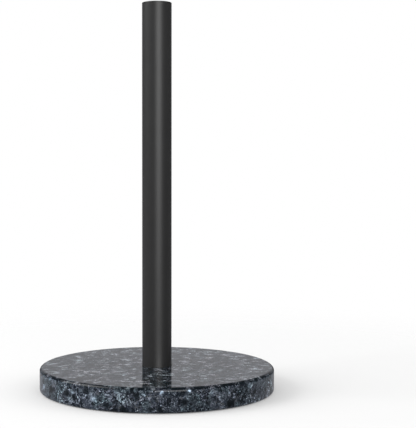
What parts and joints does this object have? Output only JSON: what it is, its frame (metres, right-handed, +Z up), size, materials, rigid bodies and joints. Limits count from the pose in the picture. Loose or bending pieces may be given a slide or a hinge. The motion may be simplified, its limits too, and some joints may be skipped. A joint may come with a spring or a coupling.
{
  "type": "paper towel holder",
  "caption": "Countertop paper towel holder: a plain straight black steel pole bolted to the centre of a heavy polished dark granite disc on low non-slip feet.",
  "frame": {"origin": "on the counter, at the pole's axis, which is the centre of the round base", "axes": "+Z up along the pole; the base is round, and the feet stand at 45 degrees to X and Y; -Y is the front"},
  "size_m": [0.2, 0.2, 0.329],
  "materials": {
    "granite": "polished",
    "black_coat": "satin",
    "zinc_steel": "satin",
    "black_rubber": "matte",
    "grey_silicone": "matte"
  },
  "bodies": {
    "root": {"granite_base": "granite", "pole_tube": "black_coat", "pole_top_plug": "black_coat", "pole_thread_insert": "zinc_steel", "pole_gasket": "black_rubber", "fixing_bolt": "zinc_steel", "spring_washer": "zinc_steel", "flat_washer": "zinc_steel", "cushion_washer": "black_rubber", "foot_front_left": "grey_silicone", "foot_front_right": "grey_silicone", "foot_rear_left": "grey_silicone", "foot_rear_right": "grey_silicone"}
  },
  "joints": []
}
